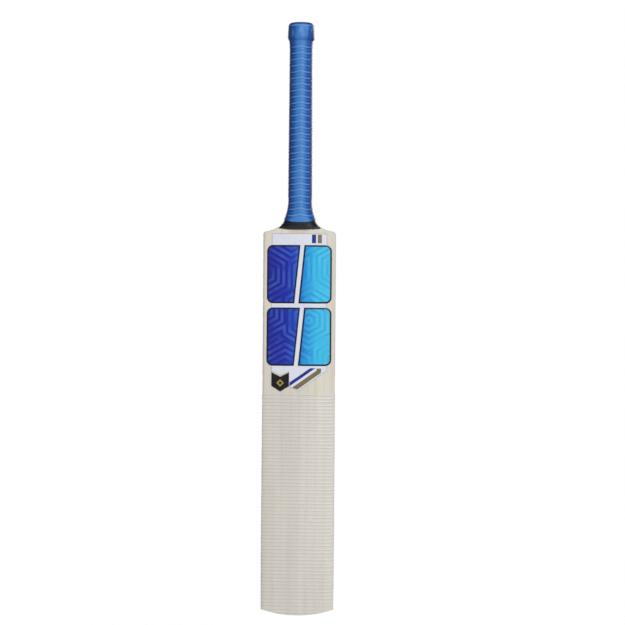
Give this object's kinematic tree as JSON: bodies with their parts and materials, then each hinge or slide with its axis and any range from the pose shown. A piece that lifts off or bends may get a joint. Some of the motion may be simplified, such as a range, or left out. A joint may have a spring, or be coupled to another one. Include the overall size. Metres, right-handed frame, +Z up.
{
  "type": "cricket bat",
  "caption": "Long willow bat with a bowed flat face, a ridged back and a rubber-gripped round handle, for hitting a ball.",
  "frame": {"origin": "on the handle's axis, level with the lowest point of the toe", "axes": "+Z up the handle from toe to grip end, -Y out of the hitting face, +X to the right seen from the face"},
  "size_m": [0.1058, 0.0742, 0.86],
  "materials": {
    "willow": "satin, lightly oiled",
    "cane": "bare",
    "spring_rubber": "matte",
    "twine": "waxed",
    "grip_rubber": "semi-gloss ribbed",
    "black_tape": "satin",
    "facing_fibre": "satin, cross-threaded",
    "label_film": "gloss printed film",
    "panel_foil": "gloss embossed foil",
    "stripe_film": "gloss printed film"
  },
  "bodies": {
    "root": {"blade": "willow", "twine_binding": "twine", "grip": "grip_rubber", "shoulder_tape": "black_tape", "facing_sheet": "facing_fibre", "front_label": "label_film", "back_label": "label_film", "edge_sticker_left": "label_film", "edge_sticker_right": "label_film", "cane_face_left": "cane", "cane_face_middle": "cane", "cane_face_right": "cane", "cane_inner_face_left": "cane", "cane_inner_face_middle": "cane", "cane_inner_face_right": "cane", "cane_inner_back_left": "cane", "cane_inner_back_middle": "cane", "cane_inner_back_right": "cane", "cane_back_left": "cane", "cane_back_middle": "cane", "cane_back_right": "cane", "rubber_spring_face": "spring_rubber", "rubber_spring_centre": "spring_rubber", "rubber_spring_back": "spring_rubber", "front_panel_upper": "panel_foil", "front_panel_lower": "panel_foil", "back_panel_upper": "panel_foil", "back_panel_lower": "panel_foil", "back_stripe_left": "stripe_film", "back_stripe_right": "stripe_film"}
  },
  "joints": []
}
